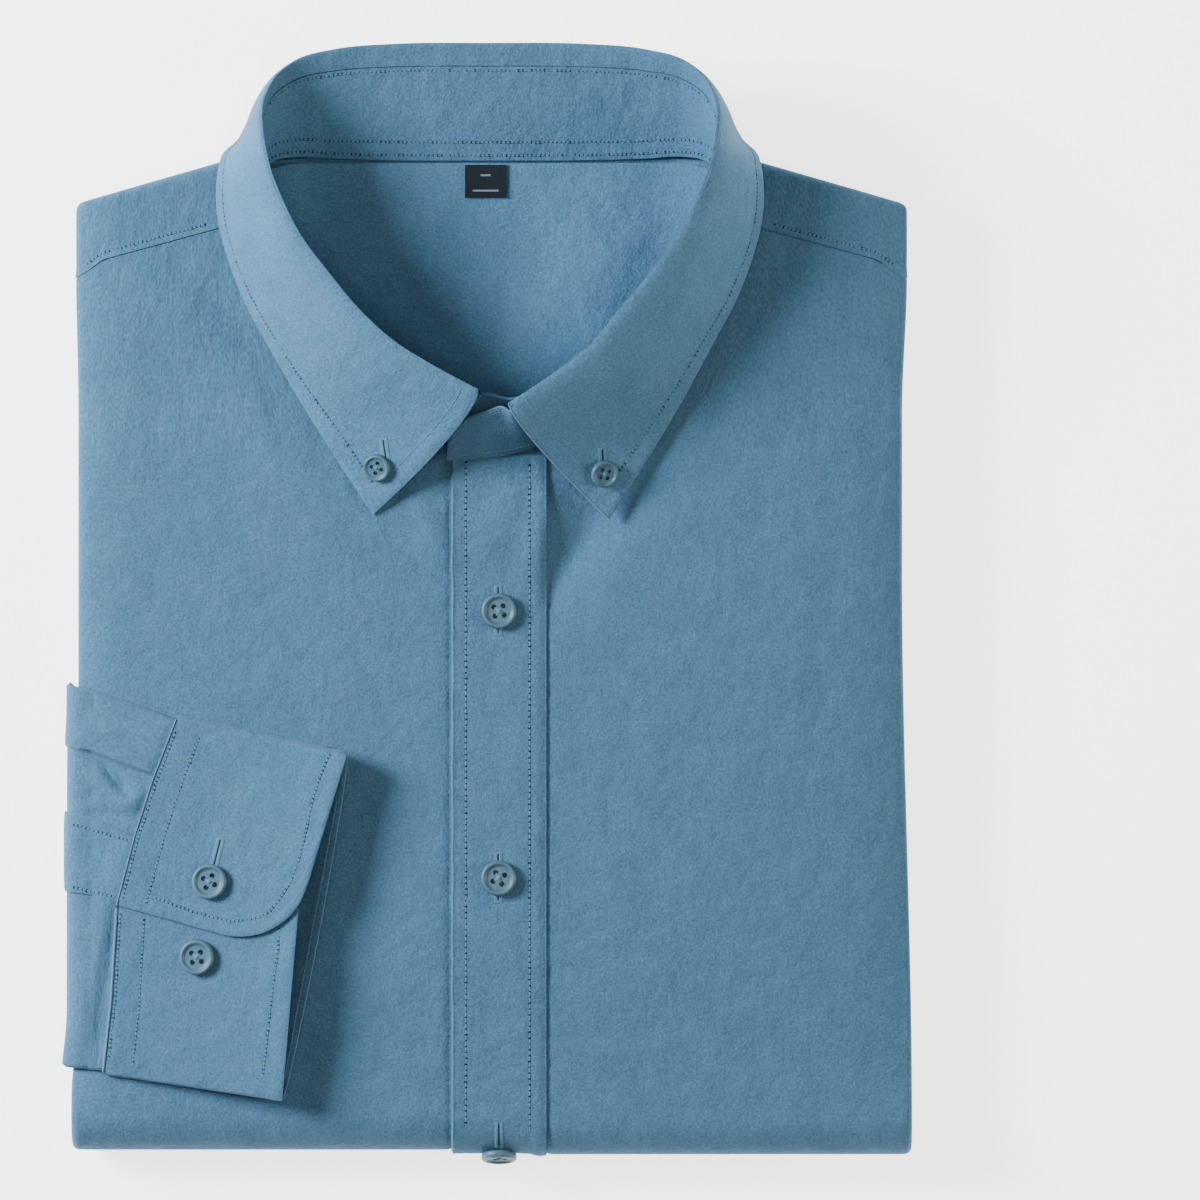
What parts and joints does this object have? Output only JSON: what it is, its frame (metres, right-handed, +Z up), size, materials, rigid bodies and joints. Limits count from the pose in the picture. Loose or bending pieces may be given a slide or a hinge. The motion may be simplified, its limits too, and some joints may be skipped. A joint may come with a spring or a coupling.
{
  "type": "folded dress shirt",
  "caption": "Long-sleeved button-down dress shirt, folded flat in half with an open standing collar and one cuff laid on the front.",
  "frame": {"origin": "on the surface that the shirt rests on, under the middle of the fold, midway between its side folds", "axes": "+Y towards the collar, along the shirt's length; +Z up, out of the front; +X towards the wearer's left"},
  "size_m": [0.2758, 0.3632, 0.0542],
  "materials": {
    "chambray": "pale blue chambray, matte, fine plain weave",
    "button": "pearly grey-blue, polished rim",
    "label": "dark navy woven satin, bare"
  },
  "bodies": {
    "root": {"folded_layers": "chambray", "front_right": "chambray", "front_left": "chambray", "front_placket": "chambray", "yoke_outer": "chambray", "yoke_inner": "chambray", "collar_band": "chambray", "collar_leaf": "chambray", "sleeve_right": "chambray", "sleeve_placket": "chambray", "cuff": "chambray", "neck_label": "label", "button_chest": "button", "button_waist": "button", "button_fold": "button", "button_collar_right": "button", "button_collar_left": "button", "button_cuff_over": "button", "button_cuff_under": "button"}
  },
  "joints": []
}
